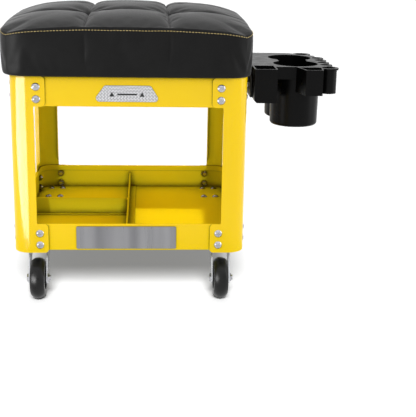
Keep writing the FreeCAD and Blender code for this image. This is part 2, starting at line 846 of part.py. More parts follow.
def make_cushion():
    """Tufted cushion with drawn-in sides, hollow below for its board."""
    reach = seat_half_depth + cut_overrun
    rows = [tufted_row(share * reach, heights)
            for share, heights in zip(row_y_shares, row_height_shares)]
    crown = Part.makeLoft(rows, True)
    levels = [
        seat_outline(seat_bottom_inset, seat_bottom, seat_bottom_inset),
        seat_outline(seat_side_inset, seat_bottom + seat_bottom_round, seat_side_inset),
        seat_outline(0, seat_bottom + seat_side_height / 2, 0),
        seat_outline(seat_side_inset, seat_seam, seat_side_inset),
        seat_outline(seat_shoulder_inset, seat_seam + seat_crown / 2, seat_side_inset),
        seat_outline(seat_top_inset, seat_seam + seat_crown + cut_overrun, seat_side_inset),
    ]
    sides = Part.makeLoft(levels, True)
    cushion = crown.common(sides)
    fit = cushion_fit
    recess = rounded_slab(seat_offset_x - board_half_width - fit,
                          seat_offset_x + board_half_width + fit,
                          -board_half_depth - fit, board_half_depth + fit,
                          seat_bottom - cut_overrun,
                          seat_bottom + cloth_thickness + board_thickness,
                          board_corner_radius + fit)
    nodes["seat_cushion"] = cushion.cut(recess)


def make_seat_board():
    """Board under the foam and the cloth that closes the seat below it."""
    low = seat_bottom + cloth_thickness
    ends = (seat_offset_x - board_half_width, seat_offset_x + board_half_width,
            -board_half_depth, board_half_depth)
    board = rounded_slab(*ends, low, low + board_thickness, board_corner_radius)
    cloth = rounded_slab(*ends, seat_bottom, low, board_corner_radius)
    radius = hinge_screw_radius + bolt_thread_gap
    depth = hinge_leaf + hinge_wood_screw_length + cushion_fit
    holes = [cylinder(radius, point, Z, depth) for point in seat_screw_places()]
    nodes["seat_board"] = board.cut(holes)
    nodes["seat_bottom_cloth"] = cloth.cut(holes)


def seat_screw_places():
    """Points under the seat leaves where their wood screws sit."""
    points = []
    y = tray_half_depth - hinge_seat_reach * hinge_seat_screw_share
    for side in (-1, 1):
        for step in (-0.5, 0.5):
            points.append(V(side * hinge_x + step * hinge_screw_spread, y,
                            seat_bottom - hinge_leaf))
    return points


def knuckle_band(offset_x, share_low, share_high, gap):
    """Box round part of a hinge's barrel, between two shares of its width."""
    half = hinge_width / 2
    radius = hinge_barrel_radius + hinge_barrel_gap
    return box(offset_x + share_low * half + gap, offset_x + share_high * half - gap,
               hinge_axis_y - radius, hinge_axis_y + radius + cut_overrun,
               hinge_axis_z - radius - cut_overrun, seat_bottom + cut_overrun)


def make_hinges():
    """Two hinges: fixed leaf bent over the rear wall, seat leaf, pin."""
    half = hinge_width / 2
    share = hinge_knuckle_share
    end_gap = hinge_pin_end_gap
    inner_y = tray_half_depth - 2 * sheet
    seat_leaf_low = seat_bottom - hinge_leaf
    fixed_top = seat_leaf_low - hinge_leaf_gap
    fixed_low = fixed_top - hinge_leaf
    bore = hinge_pin_radius + running_gap
    pins = []
    for side, name in ((-1, "left"), (1, "right")):
        x = side * hinge_x
        start = V(x - half, hinge_axis_y, hinge_axis_z)
        barrel = cylinder(hinge_barrel_radius, start, X, hinge_width)
        hole = cylinder(bore, start - X * cut_overrun, X, hinge_width + 2 * cut_overrun)
        middle = knuckle_band(x, -share, share, -end_gap)
        middle_barrel = barrel.common(knuckle_band(x, -share, share, end_gap))
        outer_bands = [knuckle_band(x, -1 - share, -share, -end_gap),
                       knuckle_band(x, share, 1 + share, -end_gap)]
        strip = box(x - half, x + half, inner_y - hinge_leaf, hinge_axis_y, fixed_low, fixed_top)
        drop = box(x - half, x + half, inner_y - hinge_leaf, inner_y,
                   fixed_top - hinge_drop, fixed_top)
        fixed = barrel.fuse([strip, drop]).cut(middle).cut(hole)
        screw_holes = [cylinder(hinge_screw_radius + hinge_screw_hole_gap,
                                point - Y * cut_overrun, Y, hinge_leaf + 2 * cut_overrun)
                       for point in hinge_screw_places()]
        nodes["hinge_fixed_leaf_" + name] = fixed.cut(screw_holes).removeSplitter()
        leaf = box(x - half, x + half, tray_half_depth - hinge_seat_reach, hinge_axis_y,
                   seat_leaf_low, seat_bottom)
        corners = [edge for edge in leaf.Edges
                   if edge.BoundBox.ZLength > hinge_leaf / 2
                   and edge.BoundBox.YMax < tray_half_depth - hinge_seat_reach / 2]
        leaf = leaf.makeFillet(hinge_corner_radius, corners)
        leaf = leaf.cut(outer_bands).fuse(middle_barrel).cut(hole)
        screw_holes = [cylinder(hinge_screw_radius + hinge_screw_hole_gap,
                                point - Z * cut_overrun, Z, hinge_leaf + 2 * cut_overrun)
                       for point in seat_screw_places()]
        nodes["hinge_seat_leaf_" + name] = leaf.cut(screw_holes).removeSplitter()
        pin = cylinder(hinge_pin_radius, start - X * hinge_pin_head, X,
                       hinge_width + 2 * hinge_pin_head)
        head_radius = hinge_barrel_radius * hinge_pin_head_share
        heads = [cylinder(head_radius, start - X * hinge_pin_head, X, hinge_pin_head),
                 cylinder(head_radius, start + X * hinge_width, X, hinge_pin_head)]
        pins.append(pin.fuse(heads).removeSplitter())
    nodes["hinge_pins"] = Part.makeCompound(pins)


def make_hinge_screws():
    """Screws and nuts of the fixed leaves, and wood screws of the seat leaves."""
    grip = hinge_leaf + 2 * sheet
    screws = []
    nuts = []
    screw = truss_bolt(hinge_screw_radius, hinge_screw_head_radius, hinge_screw_head_height,
                       hinge_cross_slot, hinge_cross_length, hinge_cross_depth,
                       grip + hinge_nut_height + bolt_tail / 2)
    nut = hex_nut(hinge_nut_across, hinge_nut_height, hinge_screw_radius + bolt_thread_gap)
    for point in hinge_screw_places():
        screws.append(moved(aimed(screw, Y * -1), point))
        nuts.append(moved(aimed(nut, Y), point + Y * grip))
    nodes["hinge_tray_screws"] = Part.makeCompound(screws)
    nodes["hinge_tray_nuts"] = Part.makeCompound(nuts)
    wood = truss_bolt(hinge_screw_radius, hinge_screw_head_radius, hinge_screw_head_height,
                      hinge_cross_slot, hinge_cross_length, hinge_cross_depth,
                      hinge_leaf + hinge_wood_screw_length)
    nodes["hinge_seat_screws"] = Part.makeCompound(
        [moved(turned(wood, X, 180), point) for point in seat_screw_places()])


def tray_screw_places():
    """Points inside the side tray's back wall where it is screwed to its bracket."""
    points = []
    for i in range(tray_screw_count):
        y = tray_screw_y * (2 * i / (tray_screw_count - 1) - 1)
        points.append(V(deck_left + deck_wall, y, bracket_low + tray_screw_rise))
    return points


def make_bracket():
    """Steel channel, open below, between the upper tray's side wall and the side tray."""
    low = bracket_low
    x0 = tray_half_width
    length = 2 * bracket_half_length
    outer = box(x0, deck_left, -bracket_half_length, bracket_half_length, low, bracket_high)
    shoulders = [edge for edge in outer.Edges
                 if edge.BoundBox.YLength > length / 2
                 and edge.BoundBox.ZMin > bracket_high - bracket_sheet]
    outer = outer.makeFillet(bracket_bend_radius, shoulders)
    inner = box(x0 + bracket_sheet, deck_left - bracket_sheet,
                -bracket_half_length - cut_overrun, bracket_half_length + cut_overrun,
                low - cut_overrun, bracket_high - bracket_sheet)
    shoulders = [edge for edge in inner.Edges
                 if edge.BoundBox.YLength > length / 2
                 and edge.BoundBox.ZMin > bracket_high - 2 * bracket_sheet]
    inner = inner.makeFillet(bracket_bend_radius - bracket_sheet, shoulders)
    bracket = outer.cut(inner)
    holes = [(point, X) for point in bracket_bolt_places()]
    bracket = bored(bracket, holes, bolt_hole / 2, 2 * bracket_sheet)
    screws = [(point, X) for point in tray_screw_places()]
    radius = tray_screw_radius + hinge_screw_hole_gap
    nodes["side_tray_bracket"] = bored(bracket, screws, radius, 3 * bracket_sheet)
    bolts = []
    for point in bracket_bolt_places():
        grip = bracket_sheet + sheet
        bolts.append(moved(aimed(frame_bolt(grip), X), point))
        bolts.append(moved(aimed(frame_nut(grip), X), point))
    nodes["side_tray_bolts"] = Part.makeCompound(bolts)
    grip = deck_wall + bracket_sheet
    screw = truss_bolt(tray_screw_radius, tray_screw_head_radius, tray_screw_head_height,
                       cross_slot, cross_length, cross_depth,
                       grip + tray_screw_nut_height + bolt_tail)
    nut = hex_nut(tray_screw_nut_across, tray_screw_nut_height,
                  tray_screw_radius + bolt_thread_gap)
    group = []
    for point in tray_screw_places():
        group.append(moved(aimed(screw, X), point))
        group.append(moved(aimed(nut, X * -1), point - X * grip))
    nodes["side_tray_screws"] = Part.makeCompound(group)


def deck_outline():
    """Flat outline of the side tray's deck, without the pockets' flanges."""
    z = deck_top - deck_thickness
    points = [V(deck_left, deck_front, z), V(front_pocket_back_right, deck_front, z),
              V(deck_right, deck_front + deck_corner_cut, z),
              V(deck_right, slot_first_y + slot_spacing * slot_count, z),
              V(deck_left + deck_rear_width, deck_rear, z), V(deck_left, deck_rear, z)]
    return prism(points, V(0, 0, deck_thickness))


def front_pocket(inset, low, high):
    """Tapered pocket in front of the deck, drawn in by a wall."""
    z = low
    points = [V(front_pocket_back_left, deck_front - inset, z),
              V(front_pocket_front_left, front_pocket_y, z),
              V(front_pocket_front_right, front_pocket_y, z),
              V(front_pocket_back_right, deck_front - inset, z)]
    face = Part.Face(Part.makePolygon(points + [points[0]]))
    if inset > 0:
        face = face.makeOffset2D(-inset)
    return face.extrude(V(0, 0, high - low))


def tool_bin(inset, low, high):
    """Rectangular bin in front of the deck, chamfered below on its inner side."""
    x0 = bin_left + inset
    x1 = bin_right - inset
    points = [V(x0, bin_front + inset, high), V(x0, bin_front + inset, low + bin_chamfer),
              V(x0 + bin_chamfer, bin_front + inset, low), V(x1, bin_front + inset, low),
              V(x1, bin_front + inset, high)]
    return prism(points, V(0, deck_front - bin_front - 2 * inset + deck_wall, 0))


def cup_places():
    """Centre of each cup on the level of the deck's top."""
    return [V(cup_x, cup_front_y, deck_top), V(cup_x, cup_front_y + cup_spacing, deck_top)]


def cup_body(centre):
    """Outside of one cup, slightly tapered, with a round lower edge."""
    low = deck_top - cup_depth
    outer = cup_radius + cup_wall
    body = Part.makeCone(outer, outer + cup_draft, cup_depth, V(centre.x, centre.y, low))
    rim = [edge for edge in body.Edges if edge.BoundBox.ZMax < low + cup_floor]
    return body.makeFillet(cup_edge_radius, rim)


def slot_places():
    """Centres of the small open pockets along the outer edge."""
    return [V(deck_right, slot_first_y + i * slot_spacing, deck_top) for i in range(slot_count)]


def make_side_tray():
    """The moulded side tray: deck, back wall, two cups, bin and tool pockets."""
    deck_low = deck_top - deck_thickness
    solids = [box(deck_left, deck_left + deck_wall, deck_front, deck_rear,
                  deck_wall_low, deck_low + cut_overrun),
              box(bin_right, front_pocket_back_right, deck_front, deck_front + deck_wall,
                  deck_top - deck_skirt, deck_top),
              tool_bin(0, bin_low, deck_top + bin_lip),
              front_pocket(0, front_pocket_low, deck_top)]
    cuts = []
    for centre in cup_places():
        solids.append(cup_body(centre))
        floor = deck_top - cup_depth + cup_floor
        cuts.append(cylinder(cup_radius, V(centre.x, centre.y, floor), Z,
                             cup_depth - cup_floor + cut_overrun))
        cuts.append(cylinder(cup_drain_radius, V(centre.x, centre.y, floor - 2 * cup_floor), Z,
                             3 * cup_floor))
    for x, y in ((round_pocket_x, round_pocket_y), (rear_pocket_x, rear_pocket_y)):
        solids.append(cylinder(round_pocket_radius, V(x, y, round_pocket_low), Z,
                               deck_top - round_pocket_low))
        solids.append(cylinder(round_pocket_radius + round_pocket_flange, V(x, y, deck_low), Z,
                               deck_thickness))
        cuts.append(cylinder(round_pocket_radius - pocket_wall,
                             V(x, y, round_pocket_low + pocket_wall), Z,
                             deck_top - round_pocket_low))
    for centre in slot_places():
        solids.append(cylinder(slot_radius, V(centre.x, centre.y, slot_low), Z,
                               deck_top - slot_low))
        solids.append(cylinder(slot_radius + slot_flange, V(centre.x, centre.y, deck_low), Z,
                               deck_thickness))
        cuts.append(cylinder(slot_radius - pocket_wall,
                             V(centre.x, centre.y, slot_low - cut_overrun), Z,
                             deck_top - slot_low + 2 * cut_overrun))
    cuts.append(box(cup_x - mug_slot_width / 2, cup_x + mug_slot_width / 2, cup_front_y,
                    cup_front_y + cup_spacing, deck_top - mug_slot_depth,
                    deck_top + cut_overrun))
    cuts.append(tool_bin(pocket_wall, bin_low + pocket_wall, deck_top + bin_lip + cut_overrun))
    cuts.append(front_pocket(pocket_wall, front_pocket_low + pocket_wall,
                             deck_top + cut_overrun))
    body = deck_outline().fuse(solids)
    body = body.cut(cuts)
    screws = [(point, X) for point in tray_screw_places()]
    nodes["side_tray"] = bored(body, screws, tray_screw_radius + hinge_screw_hole_gap,
                               2 * deck_wall).removeSplitter()


def whole_box():
    """Bounding box of all the nodes together."""
    total = FreeCAD.BoundBox()
    for shape in nodes.values():
        total.add(shape.optimalBoundingBox(False, False))
    return total


make_trays()
make_posts()
make_fasteners()
make_dividers()
make_front_plates()
make_casters()
make_cushion()
make_seat_board()
make_hinges()
make_hinge_screws()
make_bracket()
make_side_tray()

limits = whole_box()
shift = V(-limits.Center.x, -limits.Center.y, -limits.ZMin)
os.makedirs("parts", exist_ok=True)
for node_name, node_shape in nodes.items():
    node_shape.translate(shift)
    node_shape.exportStep("parts/" + node_name + ".step")
print(len(nodes), "nodes, size", round(limits.XLength, 2), round(limits.YLength, 2),
      round(limits.ZLength, 2), "shift", [round(value, 3) for value in shift])
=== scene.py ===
"""Looks of the rolling work seat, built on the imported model. Metres, +Z up, front is -Y."""
import json
import math

import bpy
from mathutils import Matrix, Vector


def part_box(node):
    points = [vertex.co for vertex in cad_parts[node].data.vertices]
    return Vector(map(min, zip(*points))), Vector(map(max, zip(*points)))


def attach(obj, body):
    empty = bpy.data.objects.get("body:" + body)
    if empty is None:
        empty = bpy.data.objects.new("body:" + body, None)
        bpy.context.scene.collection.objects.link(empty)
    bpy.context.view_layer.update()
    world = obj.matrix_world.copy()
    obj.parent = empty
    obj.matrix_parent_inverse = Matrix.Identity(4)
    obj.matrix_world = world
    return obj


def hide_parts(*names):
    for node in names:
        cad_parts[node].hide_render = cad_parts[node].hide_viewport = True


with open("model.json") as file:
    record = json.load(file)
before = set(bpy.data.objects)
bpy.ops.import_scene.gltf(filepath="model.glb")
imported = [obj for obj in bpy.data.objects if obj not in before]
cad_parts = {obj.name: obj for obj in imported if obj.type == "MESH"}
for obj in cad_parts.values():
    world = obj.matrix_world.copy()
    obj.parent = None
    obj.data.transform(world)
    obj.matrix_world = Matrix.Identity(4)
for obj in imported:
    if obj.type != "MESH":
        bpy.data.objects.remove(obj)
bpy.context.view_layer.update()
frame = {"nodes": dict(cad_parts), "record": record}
nodes = frame["nodes"]
scene = bpy.context.scene

MM = 0.001

# The middle of the frame of the seat, found from two posts of the steel frame
left_low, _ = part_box("post_front_left")
_, right_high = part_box("post_rear_right")
FRAME_X = (left_low[0] + right_high[0]) / 2
FRAME_Y = (left_low[1] + right_high[1]) / 2


# Camera
CAMERA_PLACE = Vector((FRAME_X + 26.0 * MM, FRAME_Y - 1599.7 * MM, 561.8 * MM))
CAMERA_TURNS = (3.76, 16.21, 1.16)
FOCAL_PIXELS = 971.2
FITTED_WIDTH_PIXELS = 417
SENSOR_WIDTH = 36


def make_camera():
    """Camera at the photograph's viewpoint, fitted to the frame, casters and side tray."""
    yaw, pitch, roll = (math.radians(angle) for angle in CAMERA_TURNS)
    forward = Vector((math.sin(yaw) * math.cos(pitch), math.cos(yaw) * math.cos(pitch),
                      -math.sin(pitch)))
    right = Vector((math.cos(yaw), -math.sin(yaw), 0))
    up = right.cross(forward)
    right_rolled = right * math.cos(roll) + up * math.sin(roll)
    up_rolled = up * math.cos(roll) - right * math.sin(roll)
    turn = Matrix((right_rolled, up_rolled, -forward)).transposed().to_4x4()
    data = bpy.data.cameras.new("photo_camera")
    data.sensor_width = SENSOR_WIDTH
    data.lens = FOCAL_PIXELS * SENSOR_WIDTH / FITTED_WIDTH_PIXELS
    camera = bpy.data.objects.new("photo_camera", data)
    camera.matrix_world = Matrix.Translation(CAMERA_PLACE) @ turn
    scene.collection.objects.link(camera)
    scene.camera = camera


# Shader nodes
NOISE_ROUGHNESS = 0.55
# Between these two values lies nearly all of what a noise node gives
NOISE_RANGE = (0.3, 0.7)


def new_material(name):
    """Material with a Principled shader, its nodes and links."""
    material = bpy.data.materials.new(name)
    material.use_nodes = True
    tree = material.node_tree
    return material, tree, tree.nodes["Principled BSDF"]


def feed(tree, socket, value):
    """Gives a socket a fixed value or another node's output."""
    if isinstance(value, bpy.types.NodeSocket):
        tree.links.new(value, socket)
    else:
        socket.default_value = value


def feed_all(tree, node, values):
    """Feeds a node's inputs, each by its name."""
    for name, value in values.items():
        feed(tree, node.inputs[name], value)


def add(tree, kind, **settings):
    """Shader node with its inputs or properties set by name."""
    node = tree.nodes.new(kind)
    for key, value in settings.items():
        if key in node.inputs:
            feed(tree, node.inputs[key], value)
        else:
            setattr(node, key, value)
    return node


def coordinates(tree, scale=(1, 1, 1), turn=(0, 0, 0)):
    """Object coordinates in metres, scaled and turned."""
    source = tree.nodes.new("ShaderNodeTexCoord").outputs["Object"]
    mapping = add(tree, "ShaderNodeMapping", Scale=scale, Rotation=turn, Vector=source)
    return mapping.outputs["Vector"]


def noise(tree, vector, scale, detail=3.0):
    """Noise value between 0 and 1."""
    node = add(tree, "ShaderNodeTexNoise", Scale=scale, Detail=detail,
               Roughness=NOISE_ROUGHNESS, Vector=vector)
    return node.outputs["Fac"]


def remap(tree, value, source, target=(0.0, 1.0)):
    """Value carried over from one range of numbers to another, and held inside it."""
    node = tree.nodes.new("ShaderNodeMapRange")
    feed_all(tree, node, {"From Min": source[0], "From Max": source[1],
                          "To Min": target[0], "To Max": target[1], "Value": value})
    return node.outputs["Result"]


def spread(tree, value, low, high):
    """Value from noise stretched to lie between two numbers."""
    return remap(tree, value, NOISE_RANGE, (low, high))


def clouds(tree, place, scale, detail=3.0):
    """Soft clouds between 0 and 1, by which two colours are mixed."""
    return spread(tree, noise(tree, place, scale, detail), 0.0, 1.0)


def tint(tree, factor, first, second):
    """Colour between two colours, each given as numbers or as another node's output."""
    node = add(tree, "ShaderNodeMix", data_type="RGBA", Factor=factor)
    for name, colour in (("A", first), ("B", second)):
        feed(tree, node.inputs[name], (*colour, 1) if isinstance(colour, tuple) else colour)
    return node.outputs["Result"]


def combine(tree, operation, first, second):
    """Sum, product or other mix of two values."""
    node = add(tree, "ShaderNodeMath", operation=operation)
    for socket, value in zip(node.inputs, (first, second)):
        feed(tree, socket, value)
    return node.outputs["Value"]


def relief(tree, shader, height, distance, strength):
    """Bump from a height value, deep by a distance in metres."""
    node = add(tree, "ShaderNodeBump", Strength=strength, Distance=distance, Height=height)
    feed(tree, shader.inputs["Normal"], node.outputs["Normal"])


def openness(tree, reach, samples, shut, free):
    """From 0 in a closed corner to 1 in the open, by how much of the space round a point is free."""
    node = add(tree, "ShaderNodeAmbientOcclusion", Distance=reach, samples=samples)
    return remap(tree, node.outputs["AO"], (shut, free))


# Materials
def gloss_paint():
    """Yellow gloss powder coat with a faint orange peel. Painted shade turns it olive and less
    glossy where little space is open round it, more so on level faces, and nearly black in narrow
    gaps.
    """
    material, tree, shader = new_material("yellow_gloss_paint")
    place = coordinates(tree)
    paint = tint(tree, clouds(tree, place, 9.0), (0.85, 0.565, 0.003), (0.88, 0.59, 0.004))
    painted_inside_shade = (0.47, 0.437, 0.012)
    painted_gap_shade = (0.10, 0.07, 0.004)

    # Painted shade: where the space round a point is closed in, and more on level faces, the yellow
    # gives way to a dim olive and mirrors less.
    freedom = openness(tree, reach=220 * MM, samples=10, shut=0.25, free=0.80)
    normal = tree.nodes.new("ShaderNodeNewGeometry").outputs["Normal"]
    upward = add(tree, "ShaderNodeSeparateXYZ", Vector=normal).outputs["Z"]
    level = remap(tree, upward, (0.7, 0.95))
    painted_level_shade = combine(tree, "MULTIPLY", level, 0.2)
    gloss_loss = combine(tree, "MULTIPLY", level, 0.6)
    unshaded_share = combine(tree, "SUBTRACT", freedom, painted_level_shade)
    gloss = combine(tree, "SUBTRACT", freedom, gloss_loss)
    shaded = tint(tree, unshaded_share, painted_inside_shade, paint)
    # Painted shade: narrow gaps, such as under the seat's edge and round plates, turn nearly black.
    out_of_gaps = openness(tree, reach=14 * MM, samples=6, shut=0.45, free=0.85)
    feed_all(tree, shader, {
        "Base Color": tint(tree, out_of_gaps, painted_gap_shade, shaded),
        "Roughness": spread(tree, noise(tree, place, 35.0), 0.10, 0.15),
        "Specular IOR Level": remap(tree, gloss, (0.88, 1.0), (0.0, 0.25))})
    relief(tree, shader, noise(tree, place, 420.0, 2.0), 0.04 * MM, 0.2)
    return material


def vinyl():
    """Black seat vinyl with fine leather grain."""
    material, tree, shader = new_material("black_grained_vinyl")
    place = coordinates(tree)
    cells = add(tree, "ShaderNodeTexVoronoi", Scale=850.0, Vector=place)
    pores = combine(tree, "MULTIPLY", noise(tree, place, 2600.0), 0.5)
    grain = combine(tree, "ADD", cells.outputs["Distance"], pores)
    feed_all(tree, shader, {
        "Base Color": tint(tree, clouds(tree, place, 24.0, 4.0), (0.004, 0.004, 0.004),
                           (0.006, 0.006, 0.006)),
        "Roughness": spread(tree, grain, 0.38, 0.50),
        "Specular IOR Level": 0.13,
        "Sheen Weight": 0.20,
        "Sheen Roughness": 0.25})
    relief(tree, shader, grain, 0.12 * MM, 0.6)
    return material


def plain_look(name, colours, cloud, polish, grain, shine=0.5, metallic=0.0, stretch=(1, 1, 1)):
    """Material of two close colours in soft clouds, with uneven polish and a fine grain.

    The clouds have a scale and a detail, the polish a scale and its least and most roughness,
    and the grain a scale, a detail, a depth and a strength.
    """
    material, tree, shader = new_material(name)
    place = coordinates(tree, stretch)
    scale, smoothest, roughest = polish
    feed_all(tree, shader, {
        "Base Color": tint(tree, clouds(tree, place, *cloud), *colours),
        "Roughness": spread(tree, noise(tree, place, scale), smoothest, roughest),
        "Specular IOR Level": shine,
        "Metallic": metallic})
    grain_scale, detail, depth, strength = grain
    relief(tree, shader, noise(tree, place, grain_scale, detail), depth, strength)
    return material


def moulded_plastic():
    """Black moulded plastic with a fine satin texture and faint flow marks."""
    return plain_look("black_moulded_plastic",
                      ((0.0010, 0.0010, 0.0011), (0.0020, 0.0020, 0.0021)),
                      cloud=(16.0, 3.0), polish=(60.0, 0.26, 0.36),
                      grain=(1500.0, 2.0, 0.06 * MM, 0.2), shine=0.10)


def worn_metal(name, first, second, smoothest, roughest, stretch=(1, 1, 1), fine=300.0):
    """Bright metal with small differences in tone and polish."""
    return plain_look(name, (first, second), cloud=(60.0, 3.0),
                      polish=(110.0, smoothest, roughest), grain=(fine, 3.0, 0.04 * MM, 0.35),
                      metallic=1.0, stretch=stretch)


def painted_steel():
    """Black powder-coated steel."""
    return plain_look("black_powder_coat", ((0.008, 0.008, 0.008), (0.013, 0.013, 0.013)),
                      cloud=(20.0, 3.0), polish=(50.0, 0.38, 0.5),
                      grain=(900.0, 2.0, 0.1 * MM, 0.6))


def rubber():
    """Dark rubber with a faint bloom and moulding texture."""
    return plain_look("caster_tread_rubber", ((0.006, 0.006, 0.006), (0.011, 0.011, 0.011)),
                      cloud=(45.0, 4.0), polish=(90.0, 0.26, 0.38),
                      grain=(800.0, 3.0, 0.15 * MM, 0.5), shine=0.2)


def hub_plastic():
    """Black nylon of the wheel hubs."""
    return plain_look("hub_nylon", ((0.012, 0.012, 0.013), (0.02, 0.02, 0.021)),
                      cloud=(80.0, 3.0), polish=(70.0, 0.3, 0.4),
                      grain=(1200.0, 3.0, 0.06 * MM, 0.4))


def wood():
    """Plywood with layered grain."""
    material, tree, shader = new_material("birch_plywood")
    grain = clouds(tree, coordinates(tree, (1.0, 14.0, 60.0)), 9.0, 6.0)
    feed_all(tree, shader, {
        "Base Color": tint(tree, grain, (0.42, 0.27, 0.14), (0.58, 0.41, 0.24)),
        "Roughness": spread(tree, grain, 0.55, 0.7)})
    relief(tree, shader, grain, 0.2 * MM, 0.4)
    return material


def bottom_cloth():
    """Black non-woven dust cover: crossed fibres and small dents."""
    material, tree, shader = new_material("black_dust_cloth")
    waves = []
    for turn in (0.25 * math.pi, -0.25 * math.pi):
        wave = add(tree, "ShaderNodeTexWave", Scale=260.0, Distortion=1.5,
                   Vector=coordinates(tree, turn=(0, 0, turn)))
        waves.append(wave.outputs["Fac"])
    fibres = noise(tree, coordinates(tree), 700.0, 5.0)
    height = combine(tree, "ADD", combine(tree, "MAXIMUM", *waves), fibres)
    feed_all(tree, shader, {
        "Base Color": tint(tree, spread(tree, fibres, 0.0, 1.0), (0.006, 0.006, 0.006),
                           (0.016, 0.016, 0.016)),
        "Roughness": 0.9})
    relief(tree, shader, height, 0.3 * MM, 0.8)
    return material


def tread_plate():
    """Bright label with raised lozenges in a basket pattern."""
    material, tree, shader = new_material("label_tread_pattern")
    slant = math.pi / 4
    squares = coordinates(tree, (330.0, 330.0, 330.0), (0, slant, 0))
    checker = add(tree, "ShaderNodeTexChecker", Scale=1.0, Vector=squares)
    ribs = []
    for turn in (0.0, math.pi / 2):
        wave = add(tree, "ShaderNodeTexWave", Scale=95.0, bands_direction="X",
                   Vector=coordinates(tree, turn=(0, slant + turn, 0)))
        ribs.append(wave.outputs["Fac"])
    pick = add(tree, "ShaderNodeMix", Factor=checker.outputs["Fac"], A=ribs[0], B=ribs[1])
    height = pick.outputs["Result"]
    # Painted shade: the colour is dimmer where the pattern lies low, in its hollows.
    feed_all(tree, shader, {
        "Base Color": tint(tree, height, (0.36, 0.36, 0.38), (0.74, 0.74, 0.76)),
        "Metallic": 0.55,
        "Roughness": 0.38})
    relief(tree, shader, height, 0.3 * MM, 0.9)
    return material


def brushed_plate():
    """Badge plate with fine upright brush lines."""
    material, tree, shader = new_material("badge_brushed_steel")
    lines = noise(tree, coordinates(tree, (900.0, 900.0, 6.0)), 1.0, 4.0)
    tone = clouds(tree, coordinates(tree, (1, 1, 0.05)), 26.0, 2.0)
    feed_all(tree, shader, {
        "Base Color": tint(tree, tone, (0.19, 0.19, 0.20), (0.35, 0.35, 0.36)),
        "Roughness": spread(tree, lines, 0.26, 0.42),
        "Metallic": 0.9})
    relief(tree, shader, lines, 0.05 * MM, 0.5)
    return material


def tan_thread():
    """Twisted sewing thread."""
    material, tree, shader = new_material("tan_thread")
    wave = add(tree, "ShaderNodeTexWave", Scale=1400.0, Distortion=0.5,
               bands_direction="DIAGONAL", Vector=coordinates(tree))
    twist = wave.outputs["Fac"]
    # Painted shade: the colour is dimmer in the grooves of the twist.
    feed_all(tree, shader, {
        "Base Color": tint(tree, twist, (0.52, 0.38, 0.12), (0.76, 0.59, 0.24)),
        "Roughness": 0.6})
    relief(tree, shader, twist, 0.1 * MM, 0.6)
    return material


def mark_ink():
    """Flat black printing ink on the label."""
    material, tree, shader = new_material("label_black_ink")
    cloud = clouds(tree, coordinates(tree), 400.0)
    feed_all(tree, shader, {
        "Base Color": tint(tree, cloud, (0.004, 0.004, 0.004), (0.01, 0.01, 0.01)),
        "Roughness": 0.5})
    return material


def dress_nodes():
    """Gives every carried-over node its material, and gives back the materials by slot."""
    bright = worn_metal("bolt_chrome", (0.36, 0.36, 0.38), (0.50, 0.50, 0.52), 0.12, 0.22)
    shaded_fastener_steel = worn_metal("nut_steel_painted_shade", (0.16, 0.16, 0.18), (0.30, 0.30, 0.33), 0.18, 0.3)
    zinc = worn_metal("caster_zinc", (0.52, 0.53, 0.56), (0.70, 0.71, 0.73), 0.2, 0.34)
    hinge = worn_metal("hinge_nickel", (0.50, 0.50, 0.52), (0.70, 0.70, 0.71), 0.22, 0.36,
                       stretch=(1, 1, 8), fine=500.0)
    by_slot = {"seat_vinyl": vinyl(), "plywood": wood(), "bottom_cloth": bottom_cloth(),
               "moulded_plastic": moulded_plastic(), "black_steel": painted_steel(),
               "label_metal": tread_plate(), "brushed_badge": brushed_plate(),
               "hinge_steel": hinge, "tread_rubber": rubber(), "hub_plastic": hub_plastic(),
               "caster_steel": zinc, "fastener_steel": bright, "yellow_paint": gloss_paint()}
    # Nuts and caster bolts get a dimmer copy of the fastener steel: painted shade, for the dim
    # surroundings they mirror inside the trays.
    shaded_fastener_nodes = {"upper_tray_nuts", "lower_tray_nuts", "caster_bolts"}
    for entry in frame["record"]["subparts"]:
        name = entry["node"]
        data = nodes[name].data
        data.materials.clear()
        data.materials.append(shaded_fastener_steel if name in shaded_fastener_nodes else by_slot[entry["material_slot"]])
    return by_slot


# Helpers for pieces
def new_object(name, points, faces, material):
    """Mesh object in the scene."""
    data = bpy.data.meshes.new(name)
    data.from_pydata([tuple(point) for point in points], [], faces)
    data.materials.append(material)
    data.update()
    piece = bpy.data.objects.new(name, data)
    scene.collection.objects.link(piece)
    return piece


def mesh_piece(name, points, faces, material, body, smooth=True):
    """Mesh object that rides on a body."""
    piece = new_object(name, points, faces, material)
    if smooth:
        piece.data.shade_smooth()
    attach(piece, body)


# Stitches: share of the length, of the width and of the height at each cross-section
STITCH_PROFILE = [(0.0, 0.25, -0.15), (0.15, 0.8, 0.55), (0.5, 1.0, 1.0), (0.85, 0.8, 0.55),
                  (1.0, 0.25, -0.15)]
STITCH_SIDES = 6
STITCH, STITCH_GAP = 2.8 * MM, 1.7 * MM
STITCH_WIDTH, STITCH_HEIGHT = 1.0 * MM, 0.7 * MM
STITCH_LIFT = 0.15 * MM
LOOK_AHEAD = 0.5 * MM


